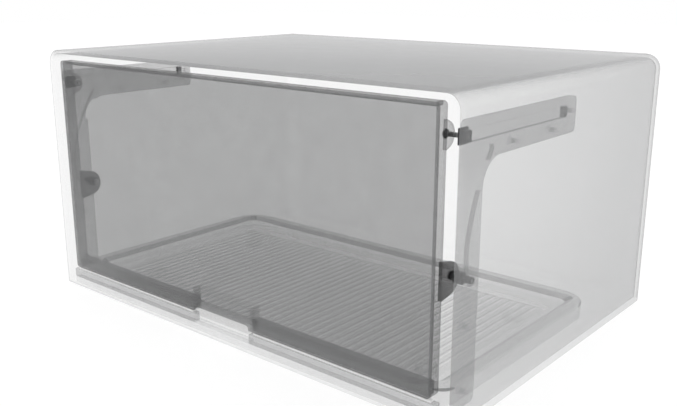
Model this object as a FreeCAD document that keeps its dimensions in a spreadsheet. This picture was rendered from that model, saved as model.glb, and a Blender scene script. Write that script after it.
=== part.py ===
import FreeCAD, Part
import math
import os
import re
import Sketcher

# A refrigerator compartment with an up-and-over flap, in millimetres.
# +Z is up, the flap faces -Y, and the origin is under the middle of the case.
DIMENSIONS = {
    # clear outer case, open at the front
    "case_width": 544,
    "case_depth": 395,
    "case_height": 275,
    "case_wall": 4,
    "case_round": 16,
    # sill in the mouth of the case, with its finger recess and soft seals
    "sill_depth": 8,
    "sill_overhang": 5,
    "base_top": 11,
    "sill_height": 10,
    "sill_floor": 3,
    "seal_height": 2,
    "seal_width": 4,
    "seal_round": 1.2,
    "seal_gap": 1,
    # flap: a thin panel with rails round its back
    "flap_thick": 13,
    "flap_skin": 3.2,
    "flap_rim": 4,
    "flap_round": 3.5,
    "low_rail": 12,
    "top_room": 7,
    # finger pull in the flap's lower edge
    "grip_width": 80,
    "grip_notch": 5,
    "grip_height": 24,
    "grip_wall": 3,
    "grip_back": 2.2,
    # pins that carry the flap: the upper pair slides, the lower pair steers
    "pin_radius": 2,
    "pin_fit": 0.05,
    "head_radius": 3.8,
    "head_height": 2,
    "upper_back": 17.8,
    "upper_drop": 26,
    "lower_back": 31.5,
    "slide_travel": 151,
    "pin_ratio": 0.775,
    # ears that hold the pins behind the flap, their tips rounded by a share of half their height
    "ear_thick": 4,
    "ear_reach": 6,
    "ear_foot": 5,
    "ear_round": 0.9,
    "upper_ear_half": 7,
    "lower_ear_half": 11.5,
    # guide brackets on the side walls
    "bracket_thick": 6,
    "bracket_gap": 12,
    "bracket_lift": 12,
    "groove_web": 1.6,
    "leg_inset": 11.5,
    "leg_margin": 5.7,
    "leg_over": 13,
    "leg_under": 19.5,
    "leg_tail": 14,
    "corner_round": 25,
    "bracket_round": 5,
    # shoes in the level track, and their rubber stops
    "shoe_half": 4,
    "shoe_height": 9,
    "shoe_lip": 2,
    "lip_thick": 2,
    "track_gap": 0.3,
    "stop_length": 6,
    # sleeves on the lower pins
    "sleeve_radius": 3,
    "collar_radius": 5.3,
    "collar_length": 8,
    # studs that hold the brackets to the side walls
    "stud_radius": 2,
    "stud_head": 4,
    "stud_cap": 1.8,
    "stud_bite": 3,
    "stud_low": 24,
    "stud_middle": 80,
    "stud_behind": 50,
    "stud_inset": 6.5,
    # loose tray on the floor of the case
    "tray_height": 15.5,
    "tray_floor": 3,
    "tray_front_gap": 1,
    "tray_side_gap": 6,
    "tray_rear_room": 98,
    "rim_side": 12,
    "rim_front": 6,
    "tray_rear_round": 34,
    "tray_front_round": 14,
    "well_slope": 22,
    "well_front_slope": 5,
    "well_round": 22,
    "well_foot": 4,
    "rim_round": 2.5,
    "rib_count": 45,
    "rib_pitch": 9.6,
    "rib_width": 3,
    "rib_height": 1.6,
    "rib_margin": 6,
    "foot_height": 8,
    "foot_radius": 10,
    "foot_inset": 60,
}

doc = FreeCAD.newDocument("flap_compartment")
dims = doc.addObject("Spreadsheet::Sheet", "dims")
for row, (alias, number) in enumerate(DIMENSIONS.items(), start=1):
    dims.set(f"A{row}", alias)
    dims.set(f"B{row}", str(number))
    dims.setAlias(f"B{row}", alias)
doc.recompute()

# Places that several pieces share, as formulas of the sheet's values
FRONT = "(-case_depth / 2)"
FLOOR = "case_wall"
CEILING = "(case_height - case_wall)"
WALL_IN = "(case_width / 2 - case_wall)"
BRACKET_LOW = f"({FLOOR} + bracket_lift)"
BRACKET_IN = f"({WALL_IN} - bracket_thick)"
GROOVE_OUT = f"({WALL_IN} - groove_web)"
FLAP_HALF = f"({BRACKET_IN} - bracket_gap)"
FLAP_LOW = "(base_top + sill_height + seal_height + seal_gap)"
FLAP_TOP = f"({CEILING} - top_room)"
FLAP_BACK = f"({FRONT} + flap_thick)"
SKIN_BACK = f"({FRONT} + flap_skin)"
RAIL_IN = f"({FLAP_HALF} - flap_rim)"
EAR_IN = f"({FLAP_HALF} - ear_thick)"
UPPER_Y = f"({FRONT} + upper_back)"
UPPER_Z = f"({FLAP_TOP} - upper_drop)"
LOWER_Y = f"({FRONT} + lower_back)"
PIN_SPACING = "(slide_travel * pin_ratio)"
LOWER_Z = f"({UPPER_Z} - {PIN_SPACING})"
LEG_FRONT = f"({FRONT} + leg_inset)"
LEG_BACK = f"({LOWER_Y} + leg_margin)"
TRACK_HALF = "(shoe_height / 2 + track_gap)"
TRACK_START = f"({UPPER_Y} - shoe_half - track_gap)"
STOP_START = f"({UPPER_Y} + slide_travel + shoe_half + track_gap)"
TRACK_END = f"({STOP_START} + stop_length)"
LEG_END = f"({TRACK_END} + leg_tail)"
SILL_HALF = f"({FLAP_HALF} + sill_overhang)"
SILL_BACK = f"({FRONT} + sill_depth)"
SILL_TOP = "(base_top + sill_height)"
TRAY_LOW = "(case_wall + foot_height)"
TRAY_TOP = f"({TRAY_LOW} + tray_height)"
TRAY_HALF = f"({BRACKET_IN} - tray_side_gap)"
TRAY_FRONT = f"({FLAP_BACK} + tray_front_gap)"
TRAY_BACK = "(case_depth / 2 - case_wall - tray_rear_room)"
WELL_LOW = f"({TRAY_LOW} + tray_floor)"
WELL_HALF = f"({TRAY_HALF} - rim_side)"
WELL_FRONT = f"({TRAY_FRONT} + rim_front)"
WELL_BACK = f"({TRAY_BACK} - rim_side)"
RIB_FRONT = f"({WELL_FRONT} + well_front_slope + rib_margin)"
RIB_BACK = f"({WELL_BACK} - well_slope - rib_margin)"
SHOE_OUT = f"({GROOVE_OUT} - track_gap)"
PIN_END = f"({SHOE_OUT} - track_gap)"
LIP_OUT = f"({BRACKET_IN} - track_gap)"
LIP_IN = f"({LIP_OUT} - lip_thick)"
SIDES = {"left": -1, "right": 1}
OVERCUT = 1
NEAR = 0.01
ALONG_X = FreeCAD.Rotation(FreeCAD.Vector(0, 1, 0), 90)
WEDGE_UP = FreeCAD.Rotation(FreeCAD.Vector(1, 0, 0), 90)

pieces = []


def qualified(words):
    """Put the sheet's name before each of its values in a formula."""
    return re.sub(r"\b[a-z]+(?:_[a-z]+)+\b", lambda match: "dims." + match.group(0), words)


def bind(item, prop, words):
    item.setExpression(prop, qualified(words))


def size(words):
    return float(dims.evalExpression(qualified(words)))


def on_side(sign, inner, outer):
    """A span in X between two distances from the middle, on one side."""
    if sign > 0:
        return inner, outer
    return f"-({outer})", f"-({inner})"


def set_box(item, x, y, z):
    spans = (("Length", "x", x), ("Width", "y", y), ("Height", "z", z))
    for prop, axis, (low, high) in spans:
        bind(item, prop, f"({high}) - ({low})")
        bind(item, f"Placement.Base.{axis}", low)
    return item


def block(name, x, y, z):
    return set_box(doc.addObject("Part::Box", name), x, y, z)


def rod(name, x, y, z, radius):
    """A round bar along X."""
    item = doc.addObject("Part::Cylinder", name)
    item.Placement = FreeCAD.Placement(FreeCAD.Vector(), ALONG_X)
    bind(item, "Radius", radius)
    bind(item, "Height", f"({x[1]}) - ({x[0]})")
    for axis, words in (("x", x[0]), ("y", y), ("z", z)):
        bind(item, f"Placement.Base.{axis}", words)
    return item


def joined(name, shapes):
    item = doc.addObject("Part::MultiFuse", name)
    item.Shapes = shapes
    return item


def cut(name, base, tool):
    item = doc.addObject("Part::Cut", name)
    item.Base = base
    item.Tool = tool
    return item


def group(name, shapes):
    """Separate solids kept together as one piece."""
    item = doc.addObject("Part::Compound", name)
    item.Links = shapes
    return item


def keep(label, item):
    """Name a finished piece and list it for export."""
    item.Label = label
    pieces.append(item)
    return item


def runs_along(axis):
    """A test for straight edges that run along one axis."""
    def test(edge):
        return edge.Curve.TypeId == "Part::GeomLine" and abs(getattr(edge.Curve.Direction, axis)) > 0.999
    return test


def rounded(body, radius, test):
    """Round the edges of a body's last feature that pass the test."""
    doc.recompute()
    base = body.Tip
    names = [f"Edge{n}" for n, edge in enumerate(base.Shape.Edges, start=1) if test(edge)]
    if not names:
        raise RuntimeError(f"{body.Label}: no edges to round")
    item = body.newObject("PartDesign::Fillet", f"{body.Name}_fillet")
    item.Base = (base, names)
    bind(item, "Radius", radius)


def solid_box(name, x, y, z):
    """A body that starts as a box."""
    body = doc.addObject("PartDesign::Body", name)
    set_box(body.newObject("PartDesign::AdditiveBox", f"{name}_box"), x, y, z)
    return body


def plate(name, corners, x):
    """A body cut from flat sheet across X, to an outline of (y, z) corners."""
    body = doc.addObject("PartDesign::Body", name)
    sketch = body.newObject("Sketcher::SketchObject", f"{name}_outline")
    plane = next(item for item in body.Origin.OriginFeatures if item.Role == "YZ_Plane")
    sketch.AttachmentSupport = (plane, [""])
    sketch.MapMode = "FlatFace"
    bind(sketch, "AttachmentOffset.Base.z", x[0])
    points = [FreeCAD.Vector(size(y), size(z), 0) for y, z in corners]
    for start, end in zip(points, points[1:] + points[:1]):
        sketch.addGeometry(Part.LineSegment(start, end))
    for n, (y, z) in enumerate(corners):
        sketch.addConstraint(Sketcher.Constraint("Coincident", n, 2, (n + 1) % len(corners), 1))
        for kind, words in (("DistanceX", y), ("DistanceY", z)):
            index = sketch.addConstraint(Sketcher.Constraint(kind, n, 1, size(words)))
            bind(sketch, f"Constraints[{index}]", words)
    pad = body.newObject("PartDesign::Pad", f"{name}_pad")
    pad.Profile = sketch
    bind(pad, "Length", f"({x[1]}) - ({x[0]})")
    return body


def lies_at(axis, place):
    """A test for edges whose ends all lie at one height on an axis."""
    def test(edge):
        return all(abs(getattr(v.Point, axis) - place) < NEAR for v in edge.Vertexes)
    return test


def at_corner(y, z):
    """A test for the edge along X that stands on one corner of an outline."""
    along_x = runs_along("x")

    def test(edge):
        point = edge.Vertexes[0].Point
        return along_x(edge) and math.hypot(point.y - size(y), point.z - size(z)) < NEAR
    return test


def stud_places():
    """Where each bracket is held to its wall, as (y, z)."""
    leg_middle = f"(({LEG_FRONT} + {LEG_BACK}) / 2)"
    under_track = f"({UPPER_Z} - leg_under + stud_inset)"
    return (
        (leg_middle, f"({FLOOR} + stud_low)"),
        (leg_middle, f"({FLOOR} + stud_middle)"),
        (f"({LEG_BACK} + stud_behind)", under_track),
        (f"({TRACK_END} - corner_round)", under_track),
        (f"({LEG_END} - leg_tail / 2)", UPPER_Z),
    )


def rounded_tub(name, x, y, z, radius):
    """A box rounded along Y and round its back, with square lower edges."""
    body = solid_box(name, x, y, z)
    along_y, at_back, at_foot = runs_along("y"), lies_at("y", size(y[1])), lies_at("z", size(z[0]))
    rounded(body, radius, lambda e: (along_y(e) or at_back(e)) and not at_foot(e))
    return body


def make_case():
    outside = rounded_tub(
        "case_body", ("-case_width / 2", "case_width / 2"), (FRONT, "case_depth / 2"), ("0", "case_height"),
        "case_round")
    inside = rounded_tub(
        "case_hollow", (f"-{WALL_IN}", WALL_IN), (f"{FRONT} - {OVERCUT}", "case_depth / 2 - case_wall"),
        (FLOOR, CEILING), "case_round - case_wall")
    tools = [inside]
    for side, sign in SIDES.items():
        for n, (y, z) in enumerate(stud_places()):
            span = on_side(sign, f"{WALL_IN} - {OVERCUT}", f"{WALL_IN} + stud_bite")
            tools.append(rod(f"{side}_wall_hole_{n}", span, y, z, "stud_radius + pin_fit"))
    keep("outer_case", cut("case_shell", outside, joined("case_tools", tools)))


def make_sill():
    deep = (FRONT, SILL_BACK)
    keep("sill_base", block("base_strip", (f"-{SILL_HALF}", SILL_HALF), deep, (FLOOR, "base_top")))
    keep("sill_grip_plate", block(
        "grip_plate", ("-grip_width / 2", "grip_width / 2"), deep, ("base_top", "base_top + sill_floor")))
    middle = f"({FRONT} + sill_depth / 2)"
    for side, sign in SIDES.items():
        span = on_side(sign, "grip_width / 2", SILL_HALF)
        keep(f"{side}_sill", block(f"{side}_sill_bar", span, deep, ("base_top", SILL_TOP)))
        strip = solid_box(
            f"{side}_seal_body", on_side(sign, "grip_width / 2 + seal_width", FLAP_HALF),
            (f"{middle} - seal_width / 2", f"{middle} + seal_width / 2"),
            (SILL_TOP, f"{SILL_TOP} + seal_height"))
        along_x, on_top = runs_along("x"), lies_at("z", size(f"{SILL_TOP} + seal_height"))
        rounded(strip, "seal_round", lambda e: along_x(e) and on_top(e))
        keep(f"{side}_sill_seal", strip)


def steering_groove(name, sign):
    """The curved groove that the lower pin follows as the shoe slides evenly with the flap's tilt."""
    upper_y, upper_z = size(UPPER_Y), size(UPPER_Z)
    behind, spacing = size("lower_back - upper_back"), size(PIN_SPACING)
    rate = size("slide_travel") / (math.pi / 2)
    reach = size("sleeve_radius + track_gap")
    span = on_side(sign, f"{BRACKET_IN} - {OVERCUT}", GROOVE_OUT)
    low, high = size(span[0]), size(span[1])
    steps = 30
    edges = {1: [], -1: []}
    middle = []
    for n in range(steps + 1):
        tilt = math.pi / 2 * n / steps
        along, across = math.cos(tilt), math.sin(tilt)
        y = upper_y + rate * tilt + behind * along - spacing * across
        z = upper_z - behind * across - spacing * along
        dy = rate - behind * across - spacing * along
        dz = spacing * across - behind * along
        speed = math.hypot(dy, dz)
        dy, dz = dy / speed, dz / speed
        middle.append((y, z, dy, dz))
        for hand in edges:
            edges[hand].append(FreeCAD.Vector(low, y - hand * reach * dz, z + hand * reach * dy))
    curves = []
    for hand in edges:
        curve = Part.BSplineCurve()
        curve.interpolate(edges[hand])
        curves.append(curve.toShape())
    for (y, z, dy, dz), n, way in ((middle[0], 0, -1), (middle[-1], -1, 1)):
        tip = FreeCAD.Vector(low, y + way * reach * dy, z + way * reach * dz)
        curves.append(Part.Arc(edges[1][n], tip, edges[-1][n]).toShape())
    wire = Part.Wire(Part.__sortEdges__(curves))
    item = doc.addObject("Part::Feature", name)
    item.Shape = Part.Face(wire).extrude(FreeCAD.Vector(high - low, 0, 0))
    return item


def make_bracket(side, sign):
    under = f"({UPPER_Z} - leg_under)"
    over = f"({UPPER_Z} + leg_over)"
    inner_corner = (LEG_BACK, under)
    foot = ((LEG_FRONT, BRACKET_LOW), (LEG_BACK, BRACKET_LOW))
    ends = ((LEG_END, under), (LEG_END, over), (LEG_FRONT, over))
    body = plate(f"{side}_bracket_plate", foot + (inner_corner,) + ends, on_side(sign, BRACKET_IN, WALL_IN))
    rounded(body, "corner_round", at_corner(*inner_corner))
    rounded(body, "bracket_round", lambda e: any(at_corner(*end)(e) for end in foot + ends))
    height = (f"{UPPER_Z} - {TRACK_HALF}", f"{UPPER_Z} + {TRACK_HALF}")
    tools = [steering_groove(f"{side}_steering_groove", sign)]
    span = on_side(sign, f"{BRACKET_IN} - {OVERCUT}", GROOVE_OUT)
    tools.append(block(f"{side}_track", span, (TRACK_START, TRACK_END), height))
    studs = []
    for n, (y, z) in enumerate(stud_places()):
        span = on_side(sign, f"{BRACKET_IN} - {OVERCUT}", f"{WALL_IN} + {OVERCUT}")
        tools.append(rod(f"{side}_stud_hole_{n}", span, y, z, "stud_radius + pin_fit"))
        span = on_side(sign, BRACKET_IN, f"{WALL_IN} + stud_bite")
        shank = rod(f"{side}_shank_{n}", span, y, z, "stud_radius")
        span = on_side(sign, f"{BRACKET_IN} - stud_cap", BRACKET_IN)
        studs.append(joined(f"{side}_stud_{n}", [shank, rod(f"{side}_cap_{n}", span, y, z, "stud_head")]))
    keep(f"{side}_guide_bracket", cut(f"{side}_bracket_cut", body, joined(f"{side}_bracket_tools", tools)))
    keep(f"{side}_bracket_studs", group(f"{side}_stud_group", studs))
    span = on_side(sign, BRACKET_IN, GROOVE_OUT)
    keep(f"{side}_stop_bumper", block(f"{side}_bumper_block", span, (STOP_START, TRACK_END), height))


def make_shoe(side, sign):
    half = "shoe_height / 2"
    slider = block(
        f"{side}_slider", on_side(sign, LIP_OUT, SHOE_OUT),
        (f"{UPPER_Y} - shoe_half", f"{UPPER_Y} + shoe_half"),
        (f"{UPPER_Z} - {half}", f"{UPPER_Z} + {half}"))
    lip = block(
        f"{side}_lip", on_side(sign, LIP_IN, LIP_OUT),
        (f"{UPPER_Y} - shoe_half - shoe_lip", f"{UPPER_Y} + shoe_half + shoe_lip"),
        (f"{UPPER_Z} - {half} - shoe_lip", f"{UPPER_Z} + {half} + shoe_lip"))
    span = on_side(sign, f"{LIP_IN} - {OVERCUT}", f"{SHOE_OUT} + {OVERCUT}")
    bore = rod(f"{side}_shoe_bore", span, UPPER_Y, UPPER_Z, "pin_radius + pin_fit")
    keep(f"{side}_guide_shoe", cut(f"{side}_shoe_cut", joined(f"{side}_shoe_whole", [slider, lip]), bore))


def make_flap():
    wide, tall = (f"-{FLAP_HALF}", FLAP_HALF), (FLAP_LOW, FLAP_TOP)
    panel = solid_box("panel_body", wide, (FRONT, SKIN_BACK), tall)
    rounded(panel, "flap_round", runs_along("y"))
    notch = solid_box(
        "panel_notch", ("-grip_width / 2", "grip_width / 2"),
        (f"{FRONT} - {OVERCUT}", f"{SKIN_BACK} + {OVERCUT}"),
        (f"{FLAP_LOW} - grip_notch", f"{FLAP_LOW} + grip_notch"))
    rounded(notch, "flap_round", runs_along("y"))
    keep("flap_panel", cut("panel_cut", panel, notch))
    deep = (SKIN_BACK, FLAP_BACK)
    between = (f"-{RAIL_IN}", RAIL_IN)
    keep("flap_top_rail", block("top_rail", between, deep, (f"{FLAP_TOP} - flap_rim", FLAP_TOP)))
    grip_half = "(grip_width / 2 + grip_wall)"
    for side, sign in SIDES.items():
        rail = solid_box(f"{side}_rail_body", on_side(sign, RAIL_IN, FLAP_HALF), deep, tall)
        along_y, outside = runs_along("y"), lies_at("x", sign * size(FLAP_HALF))
        rounded(rail, "flap_round", lambda e: along_y(e) and outside(e))
        keep(f"{side}_flap_rail", rail)
        span = on_side(sign, grip_half, RAIL_IN)
        low = (FLAP_LOW, f"{FLAP_LOW} + low_rail")
        keep(f"{side}_lower_rail", block(f"{side}_low_rail", span, deep, low))
    cup = block(
        "grip_cup", (f"-{grip_half}", grip_half), deep, (FLAP_LOW, f"{FLAP_LOW} + grip_height"))
    scoop = solid_box(
        "grip_scoop", ("-grip_width / 2", "grip_width / 2"),
        (f"{SKIN_BACK} - {OVERCUT}", f"{FLAP_BACK} - grip_back"),
        (f"{FLAP_LOW} - {OVERCUT}", f"{FLAP_LOW} + grip_height - grip_wall"))
    back_top = at_corner(f"{FLAP_BACK} - grip_back", f"{FLAP_LOW} + grip_height - grip_wall")
    rounded(scoop, "flap_thick - flap_skin - grip_back", back_top)
    keep("flap_grip", cut("grip_cut", cup, scoop))


def make_ear(name, sign, y, z, half):
    """A tapered plate behind the flap's end rail, with its pin near the tip."""
    back = f"{y} + ear_reach"
    tips = ((back, f"{z} - {half}"), (back, f"{z} + {half}"))
    root = ((FLAP_BACK, f"{z} + {half} + ear_foot"), (FLAP_BACK, f"{z} - {half} - ear_foot"))
    body = plate(f"{name}_plate", tips + root, on_side(sign, EAR_IN, FLAP_HALF))
    rounded(body, f"ear_round * {half}", lambda e: any(at_corner(*tip)(e) for tip in tips))
    span = on_side(sign, f"{EAR_IN} - {OVERCUT}", f"{FLAP_HALF} + {OVERCUT}")
    keep(name, cut(f"{name}_cut", body, rod(f"{name}_hole", span, y, z, "pin_radius + pin_fit")))


def make_pin(name, sign, y, z):
    shank = rod(f"{name}_shank", on_side(sign, EAR_IN, PIN_END), y, z, "pin_radius")
    head = rod(f"{name}_head", on_side(sign, f"{EAR_IN} - head_height", EAR_IN), y, z, "head_radius")
    keep(name, joined(f"{name}_whole", [shank, head]))


def make_pins(side, sign):
    make_ear(f"{side}_upper_ear", sign, UPPER_Y, UPPER_Z, "upper_ear_half")
    make_ear(f"{side}_lower_ear", sign, LOWER_Y, LOWER_Z, "lower_ear_half")
    make_pin(f"{side}_upper_pin", sign, UPPER_Y, UPPER_Z)
    make_pin(f"{side}_lower_pin", sign, LOWER_Y, LOWER_Z)
    start = f"({FLAP_HALF} + track_gap)"
    end = f"({start} + collar_length)"
    collar = rod(f"{side}_sleeve_collar", on_side(sign, start, end), LOWER_Y, LOWER_Z, "collar_radius")
    tube = rod(f"{side}_sleeve_tube", on_side(sign, end, SHOE_OUT), LOWER_Y, LOWER_Z, "sleeve_radius")
    span = on_side(sign, f"{start} - {OVERCUT}", f"{SHOE_OUT} + {OVERCUT}")
    bore = rod(f"{side}_sleeve_bore", span, LOWER_Y, LOWER_Z, "pin_radius + pin_fit")
    sleeve = joined(f"{side}_sleeve_whole", [tube, collar])
    keep(f"{side}_lower_sleeve", cut(f"{side}_sleeve_cut", sleeve, bore))


def make_tray():
    wide, deep = (f"-{TRAY_HALF}", TRAY_HALF), (TRAY_FRONT, TRAY_BACK)
    body = solid_box("tray_body", wide, deep, (TRAY_LOW, TRAY_TOP))
    upright = runs_along("z")
    at_front = lies_at("y", size(TRAY_FRONT))
    rounded(body, "tray_rear_round", lambda e: upright(e) and not at_front(e))
    rounded(body, "tray_front_round", lambda e: upright(e) and at_front(e))
    well = body.newObject("PartDesign::SubtractiveWedge", "tray_well")
    well.Placement = FreeCAD.Placement(FreeCAD.Vector(), WEDGE_UP)
    spans = (
        ("X", f"-{WELL_HALF} + well_slope", f"{WELL_HALF} - well_slope"),
        ("X2", f"-{WELL_HALF}", WELL_HALF),
        ("Y", WELL_LOW, TRAY_TOP),
        ("Z", f"-({WELL_BACK} - well_slope)", f"-({WELL_FRONT} + well_front_slope)"),
        ("Z2", f"-{WELL_BACK}", f"-{WELL_FRONT}"),
    )
    for prop, low, high in spans:
        bind(well, f"{prop}min", low)
        bind(well, f"{prop}max", high)
    floor, top = size(WELL_LOW), size(TRAY_TOP)

    def well_corner(edge):
        heights = sorted(v.Point.z for v in edge.Vertexes)
        return abs(heights[0] - floor) < NEAR and abs(heights[-1] - top) < NEAR
    rounded(body, "well_round", well_corner)
    rounded(body, "well_foot", lies_at("z", floor))
    rounded(body, "rim_round", lies_at("z", top))
    rib = body.newObject("PartDesign::AdditiveBox", "tray_rib")
    start = "(-(rib_count - 1) * rib_pitch / 2)"
    set_box(rib, (f"{start} - rib_width / 2", f"{start} + rib_width / 2"), (RIB_FRONT, RIB_BACK),
            (WELL_LOW, f"{WELL_LOW} + rib_height"))
    doc.recompute()
    ribs = body.newObject("PartDesign::LinearPattern", "tray_ribs")
    ribs.Originals = [rib]
    axis = next(item for item in body.Origin.OriginFeatures if item.Role == "X_Axis")
    ribs.Direction = (axis, [""])
    bind(ribs, "Length", "(rib_count - 1) * rib_pitch")
    bind(ribs, "Occurrences", "rib_count")
    body.Tip = ribs
    keep("drip_tray", body)


def make_tray_feet():
    feet = []
    for side, sign in SIDES.items():
        for end, y in (("front", f"{TRAY_FRONT} + foot_inset"), ("rear", f"{TRAY_BACK} - foot_inset")):
            foot = doc.addObject("Part::Cylinder", f"{side}_{end}_foot")
            bind(foot, "Radius", "foot_radius")
            bind(foot, "Height", "foot_height")
            for axis, words in (("x", f"{sign} * ({TRAY_HALF} - foot_inset)"), ("y", y), ("z", FLOOR)):
                bind(foot, f"Placement.Base.{axis}", words)
            feet.append(foot)
    keep("tray_feet", group("feet_group", feet))


def check():
    """Stop if any object failed to build."""
    for item in doc.Objects:
        if {"Invalid", "Error"} & set(item.State):
            raise RuntimeError(f"{item.Label} did not build: {item.getStatusString()}")
    for item in pieces:
        if item.Shape.isNull() or not item.Shape.isValid():
            raise RuntimeError(f"{item.Label} has no valid shape")


def export():
    os.makedirs("parts", exist_ok=True)
    for item in pieces:
        item.Shape.exportStep(f"parts/{item.Label}.step")
        solids = len(item.Shape.Solids)
        print(f"{item.Label:22s} {solids} solid(s) {item.Shape.Volume / 1000:9.2f} cm3")


make_case()
make_sill()
for side, sign in SIDES.items():
    make_bracket(side, sign)
    make_shoe(side, sign)
make_flap()
for side, sign in SIDES.items():
    make_pins(side, sign)
make_tray()
make_tray_feet()
doc.recompute()
check()
export()
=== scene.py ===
"""A clear refrigerator compartment with a smoked flap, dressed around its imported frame."""
import math

import bpy
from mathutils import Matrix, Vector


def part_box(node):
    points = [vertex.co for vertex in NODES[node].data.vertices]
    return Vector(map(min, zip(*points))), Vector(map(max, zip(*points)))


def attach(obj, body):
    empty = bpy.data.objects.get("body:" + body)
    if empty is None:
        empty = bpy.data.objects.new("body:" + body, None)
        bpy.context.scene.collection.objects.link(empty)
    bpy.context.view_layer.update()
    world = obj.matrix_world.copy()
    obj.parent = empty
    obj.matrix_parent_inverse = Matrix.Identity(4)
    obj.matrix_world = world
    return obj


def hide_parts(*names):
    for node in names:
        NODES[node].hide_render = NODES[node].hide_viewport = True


bl_info = {
    "name": "Flap Compartment",
    "version": (1, 0, 0),
    "blender": (4, 5, 0),
    "location": "3D View > Sidebar > Compartment",
    "description": "Finishes and small pieces of a clear refrigerator compartment with a smoked flap",
    "category": "Object",
}

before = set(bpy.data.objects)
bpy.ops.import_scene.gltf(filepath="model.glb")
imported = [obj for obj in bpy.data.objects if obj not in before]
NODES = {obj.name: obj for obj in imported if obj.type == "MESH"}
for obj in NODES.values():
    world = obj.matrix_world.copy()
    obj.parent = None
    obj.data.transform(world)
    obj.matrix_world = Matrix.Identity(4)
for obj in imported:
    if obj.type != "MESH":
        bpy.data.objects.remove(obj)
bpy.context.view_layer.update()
SIDES = ("left", "right")
NEAR = 0.0005
HAIR = 0.00003
LONG_EDGE = 0.1
SHARP_ANGLE = math.radians(40)
SMOOTH_ANGLE = math.radians(35)
SPIN_STEPS = 32
SEED_SIZE = 0.001
MERGE_DISTANCE = 1e-6
BORE_LENGTH = 0.05
SENSOR_WIDTH = 36.0
FLOOR_DROP = 0.0005
LAMP_PLACE = (-0.5, -1.0, 1.8)
LAMP_TURN = (math.radians(32), 0, math.radians(-25))
LAMP_SIZE = 1.6
WHITE = (1, 1, 1, 1)
# Limits on the parts of a normal, or on their squares, that tell faces apart
FACES_FRONT = -0.9
FACES_UP = 0.95
FACES_STRAIGHT_UP = 0.999
FACES_DOWN = -0.5
LEANS_UP = 0.15
LEANS_FORWARD = -0.05
LEVEL_SQUARE = 0.5
SIDEWAYS_SQUARE = 0.8
CORNER_SQUARE = 0.0025
# Places where a finish changes, and how much denser its edges are
EDGE_GAIN = 0.1
CASE_FLOOR_TOP = 0.1
ARM_FADE = (0.19, 0.22)
RIB_LIMIT = 0.225
RIM_LOW = 0.0237
# Top of the painted highlight, a white strip at the foot of the tray's rear slope
PAINTED_HIGHLIGHT_TOP = 0.0168
TRAY_FLOOR_HALF = 0.222
TRAY_FLOOR_FRONT = -0.1725
TRAY_FLOOR_BACK = 0.0615
# Grooves of a rubber stop: places, half width and depth, as shares of its height
GROOVE_PLACES = (0.33, 0.67)
GROOVE_HALF = 0.06
GROOVE_DEPTH = 0.12
# Places of the studs on each bracket, as (y, z)
STUD_PLACES = (
    (-0.17315, 0.028),
    (-0.17315, 0.084),
    (-0.1103, 0.225),
    (-0.0434, 0.225),
    (-0.0114, 0.238),
)


class Signal:
    """A number socket of a finish. Arithmetic on it adds Math nodes."""

    def __init__(self, finish, socket):
        self.finish = finish
        self.socket = socket

    def math(self, operation, first, second):
        node = self.finish.add("ShaderNodeMath", {"operation": operation}, {0: first, 1: second})
        return Signal(self.finish, node.outputs[0])

    def __add__(self, other):
        return self.math("ADD", self, other)

    def __radd__(self, other):
        return self.math("ADD", other, self)

    def __sub__(self, other):
        return self.math("SUBTRACT", self, other)

    def __rsub__(self, other):
        return self.math("SUBTRACT", other, self)

    def __mul__(self, other):
        return self.math("MULTIPLY", self, other)

    def __rmul__(self, other):
        return self.math("MULTIPLY", other, self)

    def __pow__(self, other):
        return self.math("POWER", self, other)

    def above(self, limit):
        """1 where the signal is above a limit, else 0."""
        return self.math("GREATER_THAN", self, limit)


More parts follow.
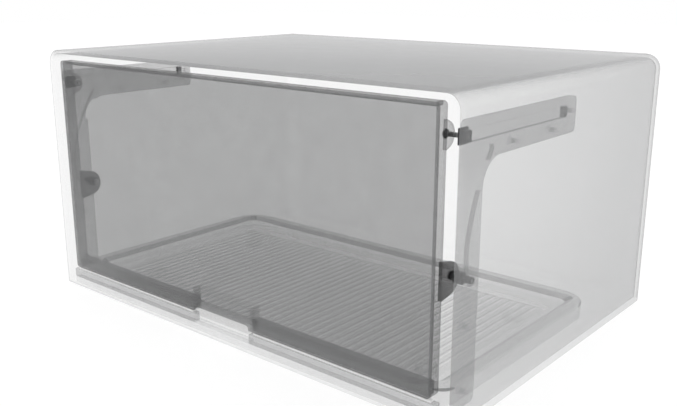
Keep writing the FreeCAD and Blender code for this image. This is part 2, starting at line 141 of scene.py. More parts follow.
class Finish:
    """A material under construction, with its shader and a node maker."""

    def __init__(self, name):
        self.material = bpy.data.materials.new(name)
        self.material.use_nodes = True
        self.tree = self.material.node_tree
        self.tree.nodes.clear()
        self.shader = self.add("ShaderNodeBsdfPrincipled", {}, {})
        self.add("ShaderNodeOutputMaterial", {}, {"Surface": self.shader.outputs["BSDF"]})
        self.coordinates = self.add("ShaderNodeTexCoord", {}, {}).outputs
        self.place = self.coordinates["Object"]

    def add(self, kind, settings, sockets):
        """Make a node: its settings first, then the values or links of its sockets."""
        node = self.tree.nodes.new(kind)
        for key, value in settings.items():
            setattr(node, key, value)
        for key, value in sockets.items():
            self.feed(node.inputs[key], value)
        return node

    def feed(self, socket, value):
        if isinstance(value, Signal):
            value = value.socket
        if isinstance(value, bpy.types.NodeSocket):
            self.tree.links.new(value, socket)
        else:
            socket.default_value = value

    def set(self, **values):
        """Set or link the shader's sockets, named with underscores for spaces."""
        for key, value in values.items():
            self.feed(self.shader.inputs[key.replace("_", " ")], value)

    def stretched(self, scale):
        """Object coordinates stretched by a scale for each axis."""
        return self.add("ShaderNodeMapping", {}, {"Vector": self.place, "Scale": scale}).outputs["Vector"]

    def noise(self, scale, detail=3.0, vector=None):
        sockets = {"Vector": vector or self.place, "Scale": scale, "Detail": detail}
        return Signal(self, self.add("ShaderNodeTexNoise", {}, sockets).outputs["Fac"])

    def parts(self, source):
        """The X, Y and Z parts of the coordinates, source Object, or of the normals, source Normal."""
        node = self.add("ShaderNodeSeparateXYZ", {}, {0: self.coordinates[source]})
        return [Signal(self, output) for output in node.outputs]

    def ramp(self, signal, low, high):
        """0 below a low value, 1 above a high value, even between."""
        sockets = {"Value": signal, "From Min": low, "From Max": high}
        return Signal(self, self.add("ShaderNodeMapRange", {}, sockets).outputs[0])

    def facing(self):
        """0 where a surface faces the eye, 1 where it is seen edge on."""
        return Signal(self, self.add("ShaderNodeLayerWeight", {}, {"Blend": 0.5}).outputs["Facing"])

    def tint(self, factor, low, high):
        """A colour between two colours, each given as three numbers or as a socket."""
        node = self.add("ShaderNodeMix", {"data_type": "RGBA"}, {0: factor})
        for index, colour in ((6, low), (7, high)):
            linked = isinstance(colour, bpy.types.NodeSocket)
            self.feed(node.inputs[index], colour if linked else (*colour, 1))
        return node.outputs[2]

    def varied(self, factor, colour, dark, light):
        """A colour that wanders between a darker and a lighter shade of itself."""
        return self.tint(factor, shaded(colour, dark), shaded(colour, light))

    def bump(self, height, distance):
        sockets = {"Height": height, "Distance": distance, "Strength": 1.0}
        self.set(Normal=self.add("ShaderNodeBump", {}, sockets).outputs["Normal"])


def shaded(colour, factor):
    return tuple(min(1.0, channel * factor) for channel in colour)


def mould(finish, colour, opacity, edge, roughness, waviness=0.0001, gloss=0.5):
    """Feed a finish as moulded plastic, with another opacity edge on, and give back its colour socket."""
    flow = finish.noise(scale=5.0, detail=2.0, vector=finish.stretched((1.0, 1.0, 3.0)))
    haze = finish.noise(scale=60.0, detail=4.0)
    tinted = finish.varied(flow, colour, dark=0.94, light=1.06)
    finish.set(
        Base_Color=tinted,
        Roughness=roughness + haze * 0.08,
        Alpha=opacity + (haze - 0.5) * (opacity * 0.12) + finish.facing() ** 3.0 * (edge - opacity),
        Specular_IOR_Level=gloss,
    )
    finish.bump(flow, distance=waviness)
    return tinted


def clear_plastic(name, colour, opacity, **look):
    """Clear moulded plastic of one opacity all over, with the looks that mould takes."""
    finish = Finish(name)
    mould(finish, colour, opacity, **look)
    return finish.material


def case_plastic(name, own):
    """The case's plastic, thinner in its floor."""
    finish = Finish(name)
    lean = finish.parts("Normal")[2]
    height = finish.parts("Object")[2]
    bottom = (lean * lean).above(LEVEL_SQUARE) * (1.0 - height.above(CASE_FLOOR_TOP))
    opacity = own.case_opacity + bottom * (own.case_floor - own.case_opacity)
    edge = own.case_edge + bottom * (own.case_floor - own.case_edge)
    mould(finish, own.case_colour, opacity, edge, roughness=0.2, waviness=0.0002, gloss=0.05)
    return finish.material


def tray_plastic(name, own):
    """The tray's plastic: dense inside the rim, lighter in the floor, with a painted highlight, a white
    strip, along the foot of the rear slope.
    """
    finish = Finish(name)
    across, along, lean = finish.parts("Normal")
    x, y, height = finish.parts("Object")
    low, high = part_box("drip_tray")
    rib = (across * across).above(SIDEWAYS_SQUARE) * (1.0 - (x * x).above(RIB_LIMIT ** 2))
    level = lean.above(FACES_UP)
    rim = height.above(RIM_LOW)
    leaning = lean.above(LEANS_UP) * (1.0 - level)
    under = 1.0 - lean.above(FACES_DOWN)
    between_sides = 1.0 - (x * x).above(TRAY_FLOOR_HALF ** 2)
    below_floor = between_sides * y.above(TRAY_FLOOR_FRONT) * (1.0 - y.above(TRAY_FLOOR_BACK))
    outside = (across * x + along * (y - (low[1] + high[1]) / 2)).above(0.0)
    corner = ((across * along) ** 2.0).above(CORNER_SQUARE)
    forward = 1.0 - along.above(LEANS_FORWARD)
    rear_slope = forward * (1.0 - lean.above(FACES_STRAIGHT_UP)) * lean.above(LEANS_UP)
    # Painted highlight: the foot of the rear slope becomes a dense white strip, which stands in for a gloss
    # highlight on its fillet
    painted_highlight = rear_slope * (1.0 - height.above(PAINTED_HIGHLIGHT_TOP))
    edge = own.tray_edge + outside * (own.tray_lip - own.tray_edge)
    edge = edge + corner * (own.tray_corner - edge)
    opacity = (
        own.tray_side
        + rib * (own.tray_rib - own.tray_side)
        + level * rim * (own.tray_rim - own.tray_side)
        + leaning * rim * (edge - own.tray_side)
        + level * (1.0 - rim) * (own.tray_floor - own.tray_side)
        + leaning * (1.0 - rim) * (own.tray_slope - own.tray_side)
        + under * (own.tray_under - own.tray_side + below_floor * (own.tray_base - own.tray_under))
    )
    opacity = opacity + painted_highlight * (own.tray_painted_highlight - opacity)
    tinted = mould(finish, own.tray_colour, opacity, opacity + EDGE_GAIN, roughness=0.15, gloss=0.3)
    # Paints the highlight strip white over the tray's own colour
    finish.set(Base_Color=finish.tint(painted_highlight, tinted, own.painted_highlight_colour))
    return finish.material


def bracket_plastic(name, own):
    """The brackets' plastic, denser in the arm that carries the track."""
    finish = Finish(name)
    arm = finish.ramp(finish.parts("Object")[2], *ARM_FADE)
    opacity = own.bracket_opacity + arm * (own.arm_opacity - own.bracket_opacity)
    mould(finish, own.bracket_colour, opacity, edge=0.5, roughness=0.15, gloss=0.3)
    return finish.material


def grip_plastic(name, own):
    """The finger pull's plastic: nearly clear, with dense end walls."""
    finish = Finish(name)
    across = finish.parts("Normal")[0]
    ends = (across * across).above(SIDEWAYS_SQUARE)
    opacity = own.grip_opacity + ends * (own.rail_opacity - own.grip_opacity)
    mould(finish, own.rail_colour, opacity, opacity + EDGE_GAIN, roughness=0.12, gloss=0.3)
    return finish.material


def satin_plastic(name, colour, roughness):
    """Dense sliding plastic with a fine grain and rubbed patches."""
    finish = Finish(name)
    grain = finish.noise(scale=900.0, detail=2.0)
    rubbed = finish.noise(scale=120.0)
    finish.set(
        Base_Color=finish.varied(rubbed, colour, dark=0.8, light=1.35),
        Roughness=roughness + (rubbed - 0.5) * 0.25,
        Specular_IOR_Level=0.2,
    )
    finish.bump(grain, distance=0.00005)
    return finish.material


def drawn_steel(name, colour, roughness):
    """Drawn steel with turning marks round X."""
    finish = Finish(name)
    marks = finish.noise(scale=60.0, detail=4.0, vector=finish.stretched((80.0, 1.0, 1.0)))
    finish.set(
        Base_Color=finish.varied(marks, colour, dark=0.8, light=1.15),
        Metallic=1.0,
        Roughness=roughness + (marks - 0.5) * 0.2,
    )
    finish.bump(marks, distance=0.00002)
    return finish.material


def soft_rubber(name, colour, roughness):
    """Matt rubber with a dusty bloom."""
    finish = Finish(name)
    bloom = finish.noise(scale=200.0, detail=4.0)
    finish.set(
        Base_Color=finish.varied(bloom, colour, dark=0.85, light=1.2),
        Roughness=roughness + (bloom - 0.5) * 0.15,
    )
    finish.bump(finish.noise(scale=1500.0, detail=2.0), distance=0.00003)
    return finish.material


def dress(material, *names):
    """Give CAD nodes a finish."""
    for name in names:
        mesh = NODES[name].data
        mesh.materials.clear()
        mesh.materials.append(material)


def fit(piece, material, body, slot, *nodes):
    """Give a new piece its finish, its body, and the CAD nodes that it stands for."""
    if not piece.data.polygons:
        raise RuntimeError(f"{piece.name} has no faces")
    piece.data.materials.clear()
    piece.data.materials.append(material)
    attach(piece, body)
    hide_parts(*nodes)


def on_both_sides(*names):
    return [f"{side}_{name}" for side in SIDES for name in names]


def named(name):
    """Name the object that an operator has just added."""
    piece = bpy.context.object
    piece.name = piece.data.name = name
    bpy.ops.object.transform_apply(location=True, rotation=True, scale=True)
    return piece


def box_piece(name, low, high):
    """A box between two corners."""
    bpy.ops.object.select_all(action="DESELECT")
    centre = [(a + b) / 2 for a, b in zip(low, high)]
    spans = [b - a for a, b in zip(low, high)]
    bpy.ops.mesh.primitive_cube_add(size=1.0, location=centre, scale=spans)
    return named(name)


def node_box(name, node):
    """A box in the place of a CAD node, a hair smaller, so that touching pieces share no faces."""
    low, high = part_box(node)
    return box_piece(name, [a + HAIR for a in low], [b - HAIR for b in high])


def alone(piece):
    """Select one piece and make it the active one."""
    bpy.ops.object.select_all(action="DESELECT")
    piece.select_set(True)
    bpy.context.view_layer.objects.active = piece


def open_edit(piece, mode):
    """Start editing a piece with nothing selected, by VERT, EDGE or FACE."""
    alone(piece)
    bpy.ops.object.mode_set(mode="EDIT")
    bpy.ops.mesh.select_mode(type=mode)
    bpy.ops.mesh.select_all(action="DESELECT")
    bpy.ops.object.mode_set(mode="OBJECT")


def pick_points(piece, test):
    """Edit a piece with the points selected whose place passes the test."""
    open_edit(piece, "VERT")
    for vertex in piece.data.vertices:
        vertex.select = test(vertex.co)
    bpy.ops.object.mode_set(mode="EDIT")


def pick_edges(piece, test):
    """Edit a piece with the edges selected whose two ends pass the test."""
    open_edit(piece, "EDGE")
    points = piece.data.vertices
    for edge in piece.data.edges:
        edge.select = test(*(points[index].co for index in edge.vertices))
    bpy.ops.object.mode_set(mode="EDIT")


def pick_faces(piece, test):
    """Edit a piece with the faces selected whose middle and normal pass the test."""
    open_edit(piece, "FACE")
    for face in piece.data.polygons:
        face.select = test(face.center, face.normal)
    bpy.ops.object.mode_set(mode="EDIT")


def round_edges(piece, test, width, segments):
    pick_edges(piece, test)
    bpy.ops.mesh.bevel(offset=width, segments=segments, affect="EDGES")
    bpy.ops.object.mode_set(mode="OBJECT")


def modified(piece, kind, **settings):
    """Add a modifier and apply it."""
    modifier = piece.modifiers.new(kind.lower(), kind)
    for key, value in settings.items():
        setattr(modifier, key, value)
    alone(piece)
    bpy.ops.object.modifier_apply(modifier=modifier.name)


def smoothed(piece):
    alone(piece)
    bpy.ops.object.shade_smooth_by_angle(angle=SMOOTH_ANGLE)


def softened(piece, width, segments=2):
    """Round all sharp edges a little and shade the piece smooth."""
    modified(piece, "BEVEL", width=width, segments=segments, limit_method="ANGLE", angle_limit=SHARP_ANGLE)
    smoothed(piece)
    return piece


def carved(piece, tool, operation):
    """Join a tool to a piece or cut it out, and drop the tool."""
    modified(piece, "BOOLEAN", operation=operation, object=tool, solver="EXACT")
    bpy.data.objects.remove(tool)


def joined(pieces):
    """Make one object of several."""
    bpy.ops.object.select_all(action="DESELECT")
    for piece in pieces:
        piece.select_set(True)
    bpy.context.view_layer.objects.active = pieces[0]
    bpy.ops.object.join()
    return pieces[0]


def copied(piece, name, move):
    """A copy with its own mesh, moved."""
    alone(piece)
    bpy.ops.object.duplicate()
    bpy.context.object.location = move
    return named(name)


def turned(name, profile, y, z):
    """A round piece about a line along X, spun from a profile of (x, radius) points."""
    bpy.ops.object.select_all(action="DESELECT")
    x, radius = profile[0]
    bpy.ops.mesh.primitive_plane_add(size=SEED_SIZE, location=(x, y, z + radius))
    piece = named(name)
    bpy.ops.object.mode_set(mode="EDIT")
    bpy.ops.mesh.select_mode(type="VERT")
    bpy.ops.mesh.select_all(action="SELECT")
    bpy.ops.mesh.merge(type="CENTER")
    for (x, radius), (next_x, next_radius) in zip(profile, profile[1:]):
        move = (next_x - x, 0, next_radius - radius)
        bpy.ops.mesh.extrude_vertices_move(TRANSFORM_OT_translate={"value": move})
    bpy.ops.mesh.select_all(action="SELECT")
    bpy.ops.mesh.spin(steps=SPIN_STEPS, angle=math.tau, center=(0, y, z), axis=(1, 0, 0))
    bpy.ops.mesh.select_all(action="SELECT")
    bpy.ops.mesh.remove_doubles(threshold=MERGE_DISTANCE)
    bpy.ops.mesh.normals_make_consistent(inside=False)
    bpy.ops.object.mode_set(mode="OBJECT")
    smoothed(piece)
    return piece


def reach(name):
    """The two ends of a CAD node along X, the nearer to the middle first, and its middle in Y and Z."""
    low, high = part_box(name)
    ends = sorted((low[0], high[0]), key=abs)
    return ends, (low[1] + high[1]) / 2, (low[2] + high[2]) / 2


def length_property(name, description, default):
    return bpy.props.FloatProperty(
        name=name, description=description, default=default, min=0.0, unit="LENGTH", subtype="DISTANCE")


def colour_property(name, description, default):
    return bpy.props.FloatVectorProperty(
        name=name, description=description, default=default, size=3, min=0.0, max=1.0, subtype="COLOR")


def share_property(name, description, default):
    return bpy.props.FloatProperty(
        name=name, description=description, default=default, min=0.0, max=1.0, subtype="FACTOR")


class CompartmentSizes(bpy.types.PropertyGroup):
    """Sizes of the details"""
    case_wall: length_property("Case wall", "Thickness of the case", 0.00395)
    case_round: length_property("Case rounding", "Radius of the case's upper and rear edges", 0.016)
    lip_round: length_property("Lip rounding", "Radius of the case's front lip", 0.0015)
    edge_round: length_property("Edge rounding", "Radius of small moulded edges", 0.0008)
    seal_round: length_property("Seal rounding", "Radius of the seals' upper edges", 0.0018)
    flap_round: length_property("Flap corners", "Radius of the flap's corners", 0.0035)
    notch_half: length_property("Notch", "Half the width of the finger notch", 0.04)
    notch_height: length_property("Notch height", "Height of the finger notch", 0.005)
    ear_foot: length_property("Ear taper", "How much an ear widens towards the flap, on each side", 0.005)
    ear_round: share_property(
        "Ear rounding", "Radius of an ear's rear corners, as a share of half its tip", 0.9)
    pin_radius: length_property("Pin", "Radius of a pin's shank", 0.002)
    head_height: length_property("Pin head", "Height of a pin's head", 0.002)
    sleeve_radius: length_property("Sleeve", "Radius of a sleeve where it runs in its groove", 0.003)
    collar_length: length_property("Collar", "Length of a sleeve's collar", 0.008)
    running_gap: length_property("Running gap", "Gap between a pin and its sleeve", 0.00005)
    stud_radius: length_property("Stud", "Radius of a stud's shank", 0.002)
    stud_head: length_property("Stud head", "Radius of a stud's head", 0.004)
    stud_cap: length_property("Stud cap", "Height of a stud's head", 0.0018)
    lip_thick: length_property("Shoe lip", "Thickness of a shoe's lip", 0.002)
    shoe_lip: length_property("Shoe lip width", "How far a shoe's lip stands out", 0.002)
    foot_radius: length_property("Foot", "Radius of a tray foot", 0.01)


class CompartmentFinishes(bpy.types.PropertyGroup):
    """Colours and opacities of the finishes"""
    case_colour: colour_property("Case", "Colour of the clear case", (0.4, 0.403, 0.406))
    case_opacity: share_property(
        "Case opacity", "How dense each face of the case is, seen straight on", 0.085)
    case_edge: share_property("Case edge opacity", "How dense each face of the case is, seen edge on", 1.0)
    case_floor: share_property("Case floor opacity", "How dense each face of the case's floor is", 0.08)
    base_colour: colour_property("Base strip", "Colour of the clear strip under the sill", (0.7, 0.705, 0.71))
    base_opacity: share_property("Base opacity", "How dense each face of the clear strip is", 0.2)
    sill_colour: colour_property("Sill", "Colour of the sill", (0.3, 0.303, 0.306))
    sill_opacity: share_property("Sill opacity", "How dense each face of the sill is", 0.28)
    seal_colour: colour_property("Seals", "Colour of the sill seals", (0.9, 0.9, 0.9))
    flap_colour: colour_property("Flap", "Colour of the smoked flap", (0.1, 0.102, 0.104))
    flap_opacity: share_property("Flap opacity", "How dense each face of the flap is", 0.4)
    rail_colour: colour_property("Rails", "Colour of the flap's rails", (0.06, 0.061, 0.062))
    rail_opacity: share_property("Rail opacity", "How dense each face of the flap's rails is", 0.28)
    grip_opacity: share_property("Pull opacity", "How dense each face of the finger pull is", 0.04)
    ear_colour: colour_property("Ears", "Colour of the pin ears", (0.03, 0.03, 0.031))
    ear_opacity: share_property("Lower ear opacity", "How dense each face of the lower ears is", 0.58)
    upper_ear_opacity: share_property("Upper ear opacity", "How dense each face of the upper ears is", 0.25)
    bracket_colour: colour_property("Brackets", "Colour of the guide brackets", (0.15, 0.152, 0.154))
    bracket_opacity: share_property("Bracket opacity", "How dense each face of the brackets' legs is", 0.185)
    arm_opacity: share_property("Arm opacity", "How dense each face of the brackets' arms is", 0.25)
    tray_colour: colour_property("Tray", "Colour of the tray", (0.22, 0.223, 0.226))
    tray_rim: share_property("Tray rim opacity", "How dense the top of the tray's rim is", 0.32)
    tray_edge: share_property("Tray edge opacity", "How dense the inner edge of the tray's rim is", 0.6)
    tray_lip: share_property("Tray lip opacity", "How dense the outer edge of the tray's rim is", 0.2)
    tray_corner: share_property("Tray corner opacity", "How dense the rim's edges are round the corners", 0.8)
    # Painted highlight along the foot of the tray's rear slope: its opacity and its white colour
    tray_painted_highlight: share_property(
        "Tray bead opacity", "How dense the bead along the foot of the rear slope is", 0.9)
    painted_highlight_colour: colour_property(
        "Tray bead", "Colour of the bead along the foot of the rear slope", (0.95, 0.95, 0.95))
    tray_floor: share_property("Tray floor opacity", "How dense the upper face of the tray's floor is", 0.16)
    tray_slope: share_property("Tray slope opacity", "How dense the tray's sloped walls are", 0.1)
    tray_under: share_property(
        "Tray underside opacity", "How dense the tray's underside is round its floor", 0.07)
    tray_base: share_property("Tray base opacity", "How dense the underside of the tray's floor is", 0.43)
    tray_side: share_property("Tray side opacity", "How dense the tray's outer sides are", 0.08)
    tray_rib: share_property("Tray rib opacity", "How dense the sides of the tray's ribs are", 0.025)
    glide_colour: colour_property("Glides", "Colour of the shoes and sleeves", (0.03, 0.03, 0.032))
    steel_colour: colour_property("Steel", "Colour of the pins", (0.3, 0.303, 0.306))
    rubber_colour: colour_property("Rubber", "Colour of the rubber stops", (0.18, 0.18, 0.184))
    stud_colour: colour_property("Studs", "Colour of the clear studs and tray feet", (0.5, 0.505, 0.51))
    stud_opacity: share_property("Stud opacity", "How dense each face of the studs is", 0.08)
    foot_opacity: share_property("Foot opacity", "How dense each face of the tray feet is", 0.04)


class CompartmentStage(bpy.types.PropertyGroup):
    """Camera and light"""
    lens: bpy.props.FloatProperty(
        name="Lens", description="Focal length on a 36 mm wide sensor", default=44.364, unit="CAMERA")
    eye: bpy.props.FloatVectorProperty(
        name="Eye", description="Where the camera stands", default=(0.5874, -0.70524, 0.3504), subtype="XYZ",
        unit="LENGTH")
    turn: bpy.props.FloatVectorProperty(
        name="Turn", description="How the camera is turned",
        default=(math.radians(90 - 15.01), 0.0, math.radians(40.47)), subtype="EULER", unit="ROTATION")
    floor_size: length_property("Floor", "Width of the floor", 12.0)
    floor_colour: colour_property("Floor colour", "Colour of the floor", (0.22, 0.22, 0.22))
    floor_glow: bpy.props.FloatProperty(
        name="Floor glow", description="Light that the white floor gives off itself", default=0.8, min=0.0)
    sky: bpy.props.FloatProperty(
        name="Sky", description="Strength of the light from all round", default=1.0, min=0.0)
    lamp: bpy.props.FloatProperty(
        name="Lamp", description="Power of the soft lamp", default=4.0, unit="POWER")


class PieceOperator(bpy.types.Operator):
    """Base for the operators"""
    bl_options = {"REGISTER", "UNDO"}

    @property
    def finishes(self):
        return bpy.context.scene.compartment_finishes

    @property
    def sizes(self):
        return bpy.context.scene.compartment_sizes


class CASE_OT_shell(PieceOperator):
    """Model the clear case: a rounded box without its front, hollowed, with a rounded lip"""
    bl_idname = "compartment.shell"
    bl_label = "Case"

    def execute(self, context):
        own, sizes = self.finishes, self.sizes
        low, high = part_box("outer_case")
        shell = box_piece("case_shell", low, high)
        pick_faces(shell, lambda middle, normal: normal.y < FACES_FRONT)
        bpy.ops.mesh.delete(type="FACE")
        bpy.ops.object.mode_set(mode="OBJECT")

        def upper_or_rear(a, b):
            centre = (a + b) / 2
            along_y_on_top = abs(a.y - b.y) > LONG_EDGE and centre.z > high[2] - NEAR
            at_rear = centre.y > high[1] - NEAR and centre.z > low[2] + NEAR
            return along_y_on_top or at_rear
        round_edges(shell, upper_or_rear, sizes.case_round, segments=8)
        modified(shell, "SOLIDIFY", thickness=sizes.case_wall, offset=-1.0, use_even_offset=True)
        pick_faces(shell, lambda middle, normal: normal.y < FACES_FRONT and middle.y < low[1] + NEAR)
        bpy.ops.mesh.region_to_loop()
        bpy.ops.mesh.bevel(offset=sizes.lip_round, segments=3, affect="EDGES")
        bpy.ops.object.mode_set(mode="OBJECT")
        smoothed(shell)
        fit(shell, case_plastic("clear_case", own), "housing", "clear_case", "outer_case")
        return {"FINISHED"}


class CASE_OT_sill(PieceOperator):
    """Model the sill under the flap: its clear base, grey bars, finger plate and white seals"""
    bl_idname = "compartment.sill"
    bl_label = "Sill"

    def execute(self, context):
        own, sizes = self.finishes, self.sizes
        base = clear_plastic("clear_sill", own.base_colour, own.base_opacity, edge=0.4, roughness=0.12)
        grey = clear_plastic("grey_sill", own.sill_colour, own.sill_opacity, edge=0.6, roughness=0.2)
        white = soft_rubber("white_seal", own.seal_colour, roughness=0.5)
        strip = softened(node_box("sill_strip", "sill_base"), sizes.edge_round)
        fit(strip, base, "housing", "clear_sill", "sill_base")
        plate = softened(node_box("finger_plate", "sill_grip_plate"), sizes.edge_round)
        fit(plate, base, "housing", "grey_sill", "sill_grip_plate")
        for side in SIDES:
            bar = softened(node_box(f"{side}_sill_bar", f"{side}_sill"), sizes.edge_round)
            fit(bar, grey, "housing", "grey_sill", f"{side}_sill")
            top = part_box(f"{side}_sill_seal")[1][2]
            bulb = node_box(f"{side}_seal_bulb", f"{side}_sill_seal")
            round_edges(bulb, lambda a, b: min(a.z, b.z) > top - NEAR, sizes.seal_round, segments=4)
            smoothed(bulb)
            fit(bulb, white, "housing", "white_seal", f"{side}_sill_seal")
        return {"FINISHED"}


class CASE_OT_guides(PieceOperator):
    """Finish the guide brackets, and model their studs, rubber stops and sliding shoes"""
    bl_idname = "compartment.guides"
    bl_label = "Guides"

    def execute(self, context):
        own = self.finishes
        dress(bracket_plastic("grey_bracket", own), *on_both_sides("guide_bracket"))
        clear = clear_plastic(
            "clear_stud", own.stud_colour, own.stud_opacity, edge=0.4, roughness=0.15, waviness=0.00005)
        rubber = soft_rubber("stop_rubber", own.rubber_colour, roughness=0.7)
        glide = satin_plastic("shoe_glide", own.glide_colour, roughness=0.4)
        for side in SIDES:
            fit(self.studs(side), clear, "housing", "clear_stud", f"{side}_bracket_studs")
            fit(self.stop(side), rubber, "housing", "soft_rubber", f"{side}_stop_bumper")
            fit(self.shoe(side), glide, "carriage", "dark_glide", f"{side}_guide_shoe")
        return {"FINISHED"}

    def studs(self, side):
        """Push studs with low round heads."""
        sizes = self.sizes
        (inner, outer), _, _ = reach(f"{side}_bracket_studs")
        out = math.copysign(1.0, inner)
        face = inner + out * sizes.stud_cap
        head, shank, edge = sizes.stud_head, sizes.stud_radius, sizes.edge_round
        # From the middle of the low head, over its edge, to the end of the shank
        profile = [
            (inner, 0.0), (inner, head * 0.5), (inner + out * edge * 0.5, head * 0.8),
            (face - out * edge, head), (face, head), (face, shank),
            (outer - out * edge, shank), (outer, shank - edge), (outer, 0.0),
        ]
        first_y, first_z = STUD_PLACES[0]
        first = turned(f"{side}_studs", profile, first_y, first_z)
        group = [first]
        for n, (y, z) in enumerate(STUD_PLACES[1:], start=2):
            group.append(copied(first, f"{side}_stud_{n}", (0.0, y - first_y, z - first_z)))
        return joined(group)

    def stop(self, side):
        """A rubber block with two grooves across its front."""
        low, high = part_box(f"{side}_stop_bumper")
        block = node_box(f"{side}_stop", f"{side}_stop_bumper")
        height = high[2] - low[2]
        for share in GROOVE_PLACES:
            middle = low[2] + height * share
            groove = box_piece(
                "groove", (low[0] - NEAR, low[1] - NEAR, middle - height * GROOVE_HALF),
                (high[0] + NEAR, low[1] + height * GROOVE_DEPTH, middle + height * GROOVE_HALF))
            carved(block, groove, "DIFFERENCE")
        return softened(block, self.sizes.edge_round * 0.4)

    def shoe(self, side):
        """A sliding block with a wider lip towards the flap, bored for its pin."""
        sizes = self.sizes
        name = f"{side}_guide_shoe"
        low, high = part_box(name)
        (inner, outer), y, z = reach(name)
        step = inner + math.copysign(sizes.lip_thick, inner)
        lip = box_piece(
            f"{side}_shoe", (min(inner, step), low[1], low[2]), (max(inner, step), high[1], high[2]))
        over = inner + math.copysign(sizes.lip_thick / 2, inner)
        slider = box_piece(
            "slider", (min(over, outer), low[1] + sizes.shoe_lip, low[2] + sizes.shoe_lip),
            (max(over, outer), high[1] - sizes.shoe_lip, high[2] - sizes.shoe_lip))
        carved(lip, slider, "UNION")
        softened(lip, sizes.edge_round * 0.5)
        bpy.ops.object.select_all(action="DESELECT")
        bpy.ops.mesh.primitive_cylinder_add(
            vertices=SPIN_STEPS, radius=sizes.pin_radius + sizes.running_gap, depth=BORE_LENGTH,
            location=((inner + outer) / 2, y, z), rotation=(0, math.pi / 2, 0))
        carved(lip, named("bore"), "DIFFERENCE")
        smoothed(lip)
        return lip


class CASE_OT_flap(PieceOperator):
    """Model the smoked flap: its notched sheet, the rails round its back and the pin ears"""
    bl_idname = "compartment.flap"
    bl_label = "Flap"

    def execute(self, context):
        own = self.finishes
        smoke = clear_plastic("smoke_flap", own.flap_colour, own.flap_opacity, edge=0.8, roughness=0.08)
        fit(self.sheet(), smoke, "flap", "smoke_flap", "flap_panel")
        rail = clear_plastic(
            "smoke_rail", own.rail_colour, own.rail_opacity, edge=0.8, roughness=0.12, gloss=0.3)
        for node in ("flap_top_rail", *on_both_sides("flap_rail", "lower_rail")):
            fit(self.rail(node), rail, "flap", "smoke_rail", node)
        dress(grip_plastic("smoke_grip", own), "flap_grip")
        dark = clear_plastic("smoke_ear", own.ear_colour, own.ear_opacity, edge=0.9, roughness=0.2)
        thin = clear_plastic("thin_ear", own.ear_colour, own.upper_ear_opacity, edge=0.7, roughness=0.2)
        for side in SIDES:
            fit(self.ear(f"{side}_lower_ear"), dark, "flap", "smoke_ear", f"{side}_lower_ear")
            fit(self.ear(f"{side}_upper_ear"), thin, "flap", "smoke_ear", f"{side}_upper_ear")
        return {"FINISHED"}

    def sheet(self):
        """A thin sheet with rounded corners and a notch for the fingers."""
        sizes = self.sizes
        low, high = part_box("flap_panel")
        sheet = node_box("flap_sheet", "flap_panel")
        round_edges(sheet, lambda a, b: abs(a.y - b.y) > NEAR, sizes.flap_round, segments=5)
        notch = box_piece(
            "notch", (-sizes.notch_half, low[1] - NEAR, low[2] - sizes.notch_height),
            (sizes.notch_half, high[1] + NEAR, low[2] + sizes.notch_height))
        round_edges(notch, lambda a, b: abs(a.y - b.y) > NEAR, sizes.flap_round, segments=5)
        carved(sheet, notch, "DIFFERENCE")
        return softened(sheet, sizes.edge_round * 0.8)

    def rail(self, node):
        low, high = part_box(node)
        rail = node_box(f"{node}_bar", node)
        if node.endswith("flap_rail"):
            outer = max((low[0], high[0]), key=abs)

            def outer_corner(a, b):
                return abs(a.y - b.y) > NEAR and abs(a.x - outer) < NEAR
            round_edges(rail, outer_corner, self.sizes.flap_round, segments=5)
        return softened(rail, self.sizes.edge_round)

    def ear(self, node):
        """A plate that narrows towards the back, with round rear corners."""
        sizes = self.sizes
        low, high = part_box(node)
        ear = node_box(f"{node}_plate", node)
        height = high[2] - low[2]
        tip_half = height / 2 - sizes.ear_foot
        pick_points(ear, lambda place: place.y > high[1] - NEAR)
        bpy.ops.transform.resize(
            value=(1.0, 1.0, 2 * tip_half / height),
            center_override=(low[0], high[1], (low[2] + high[2]) / 2))
        bpy.ops.object.mode_set(mode="OBJECT")
        round_edges(
            ear, lambda a, b: min(a.y, b.y) > high[1] - NEAR and abs(a.x - b.x) > NEAR,
            sizes.ear_round * tip_half, segments=8)
        return softened(ear, sizes.edge_round * 0.6)


class CASE_OT_pins(PieceOperator):
    """Turn the pins with their domed heads, and the sleeves that run in the steering grooves"""
    bl_idname = "compartment.pins"
    bl_label = "Pins"

    def execute(self, context):
        own = self.finishes
        steel = drawn_steel("pin_steel", own.steel_colour, roughness=0.28)
        for node in on_both_sides("upper_pin", "lower_pin"):
            fit(self.pin(node), steel, "flap", "pin_steel", node)
        glide = satin_plastic("sleeve_glide", own.glide_colour, roughness=0.35)
        for node in on_both_sides("lower_sleeve"):
            fit(self.sleeve(node), glide, "flap", "dark_glide", node)
        return {"FINISHED"}

    def pin(self, node):
        sizes = self.sizes
        (inner, outer), y, z = reach(node)
        low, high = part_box(node)
        head, shank, edge = (high[2] - low[2]) / 2, sizes.pin_radius, sizes.edge_round
        out = math.copysign(1.0, inner)
        seat = inner + out * sizes.head_height
        # From the middle of the domed head, over its edge, to the end of the shank
        profile = [
            (inner, 0.0), (inner, head * 0.55), (inner + out * edge * 0.5, head * 0.85),
            (inner + out * edge * 1.4, head), (seat, head), (seat, shank),
            (outer - out * edge, shank), (outer, shank - edge), (outer, 0.0),
        ]
        return turned(f"{node}_turned", profile, y, z)

    def sleeve(self, node):
        sizes = self.sizes
        (inner, outer), y, z = reach(node)
        low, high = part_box(node)
        out = math.copysign(1.0, inner)
        collar, tube, edge = (high[2] - low[2]) / 2, sizes.sleeve_radius, sizes.edge_round
        bore = sizes.pin_radius + sizes.running_gap
        step = inner + out * sizes.collar_length
        # From the bore, over the collar and the tube, back to the bore
        profile = [
            (inner, bore), (inner, collar - edge), (inner + out * edge, collar),
            (step - out * edge, collar), (step, collar - edge), (step, tube),
            (outer - out * edge * 0.5, tube), (outer, tube - edge * 0.5), (outer, bore), (inner, bore),
        ]
        return turned(f"{node}_turned", profile, y, z)


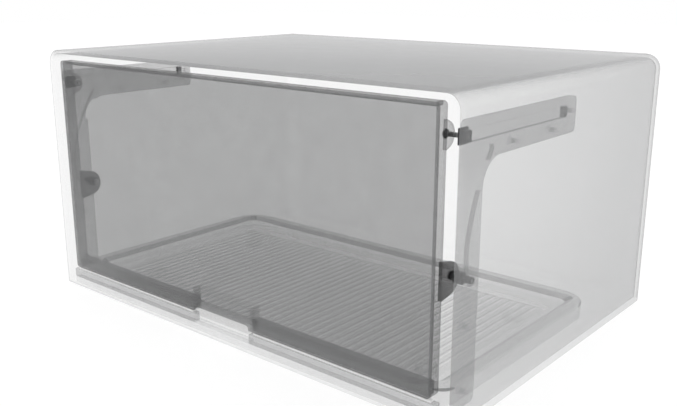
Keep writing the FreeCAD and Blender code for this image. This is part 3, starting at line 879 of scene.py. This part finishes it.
class CASE_OT_tray(PieceOperator):
    """Finish the loose tray, and model its soft feet"""
    bl_idname = "compartment.tray"
    bl_label = "Tray"

    def execute(self, context):
        own = self.finishes
        dress(tray_plastic("grey_tray", own), "drip_tray")
        soft = clear_plastic(
            "clear_foot", own.stud_colour, own.foot_opacity, edge=0.2, roughness=0.4, gloss=0.2)
        fit(self.feet(), soft, "tray", "clear_foot", "tray_feet")
        return {"FINISHED"}

    def feet(self):
        radius = self.sizes.foot_radius
        low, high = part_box("tray_feet")
        across = (low[0] + radius, high[0] - radius)
        along = (low[1] + radius, high[1] - radius)
        corners = [(x, y) for x in across for y in along]
        bpy.ops.object.select_all(action="DESELECT")
        bpy.ops.mesh.primitive_cylinder_add(
            vertices=SPIN_STEPS, radius=radius, depth=high[2] - low[2],
            location=(*corners[0], (low[2] + high[2]) / 2))
        first = softened(named("soft_feet"), self.sizes.edge_round * 1.5, segments=3)
        group = [first]
        for n, (x, y) in enumerate(corners[1:], start=2):
            group.append(copied(first, f"foot_{n}", (x - corners[0][0], y - corners[0][1], 0.0)))
        return joined(group)


class CASE_OT_stage(PieceOperator):
    """Make the white floor, the light and the camera"""
    bl_idname = "compartment.stage"
    bl_label = "Stage"

    def execute(self, context):
        scene = bpy.context.scene
        stage = scene.compartment_stage
        bpy.ops.object.select_all(action="DESELECT")
        bpy.ops.mesh.primitive_plane_add(size=stage.floor_size, location=(0, 0, -FLOOR_DROP))
        floor = named("floor")
        floor.data.materials.append(self.floor_finish(stage))
        self.light(scene, stage)
        bpy.ops.object.camera_add(location=stage.eye, rotation=stage.turn)
        camera = bpy.context.object
        camera.data.sensor_width = SENSOR_WIDTH
        camera.data.lens = stage.lens
        scene.camera = camera
        scene.view_settings.view_transform = "Standard"
        scene.cycles.transparent_max_bounces = 64
        return {"FINISHED"}

    def floor_finish(self, stage):
        finish = Finish("floor")
        finish.set(
            Base_Color=finish.varied(finish.noise(scale=3.0), stage.floor_colour, dark=0.99, light=1.01),
            Roughness=0.9,
            Emission_Color=WHITE,
            Emission_Strength=stage.floor_glow,
        )
        return finish.material

    def light(self, scene, stage):
        world = bpy.data.worlds.new("studio")
        scene.world = world
        world.use_nodes = True
        nodes, links = world.node_tree.nodes, world.node_tree.links
        nodes.clear()
        path = nodes.new("ShaderNodeLightPath")
        sky = nodes.new("ShaderNodeBackground")
        sky.inputs["Strength"].default_value = stage.sky
        white = nodes.new("ShaderNodeBackground")
        white.inputs["Strength"].default_value = 1.0
        for shader in (sky, white):
            shader.inputs["Color"].default_value = WHITE
        seen = path.outputs["Is Camera Ray"]
        for name in ("Is Glossy Ray", "Is Transmission Ray"):
            either = nodes.new("ShaderNodeMath")
            either.operation = "MAXIMUM"
            links.new(seen, either.inputs[0])
            links.new(path.outputs[name], either.inputs[1])
            seen = either.outputs[0]
        mix = nodes.new("ShaderNodeMixShader")
        links.new(seen, mix.inputs[0])
        links.new(sky.outputs[0], mix.inputs[1])
        links.new(white.outputs[0], mix.inputs[2])
        output = nodes.new("ShaderNodeOutputWorld")
        links.new(mix.outputs[0], output.inputs[0])
        bpy.ops.object.light_add(type="AREA", location=LAMP_PLACE)
        lamp = bpy.context.object
        lamp.name = "soft_lamp"
        lamp.data.energy = stage.lamp
        lamp.data.size = LAMP_SIZE
        lamp.rotation_euler = LAMP_TURN


class CASE_PT_panel(bpy.types.Panel):
    """Lists the compartment's operators"""
    bl_label = "Flap Compartment"
    bl_idname = "CASE_PT_panel"
    bl_space_type = "VIEW_3D"
    bl_region_type = "UI"
    bl_category = "Compartment"

    def draw(self, context):
        for operator in OPERATORS:
            self.layout.operator(operator.bl_idname)


OPERATORS = (
    CASE_OT_stage,
    CASE_OT_shell,
    CASE_OT_sill,
    CASE_OT_guides,
    CASE_OT_flap,
    CASE_OT_pins,
    CASE_OT_tray,
)
SETTINGS = {
    "compartment_sizes": CompartmentSizes,
    "compartment_finishes": CompartmentFinishes,
    "compartment_stage": CompartmentStage,
}


def register():
    for cls in (*SETTINGS.values(), *OPERATORS, CASE_PT_panel):
        bpy.utils.register_class(cls)
    for name, cls in SETTINGS.items():
        setattr(bpy.types.Scene, name, bpy.props.PointerProperty(type=cls))


def unregister():
    for name in SETTINGS:
        delattr(bpy.types.Scene, name)
    for cls in reversed((*SETTINGS.values(), *OPERATORS, CASE_PT_panel)):
        bpy.utils.unregister_class(cls)


def main():
    register()
    for operator in OPERATORS:
        group, name = operator.bl_idname.split(".")
        getattr(getattr(bpy.ops, group), name)()


if __name__ == "__main__":
    main()
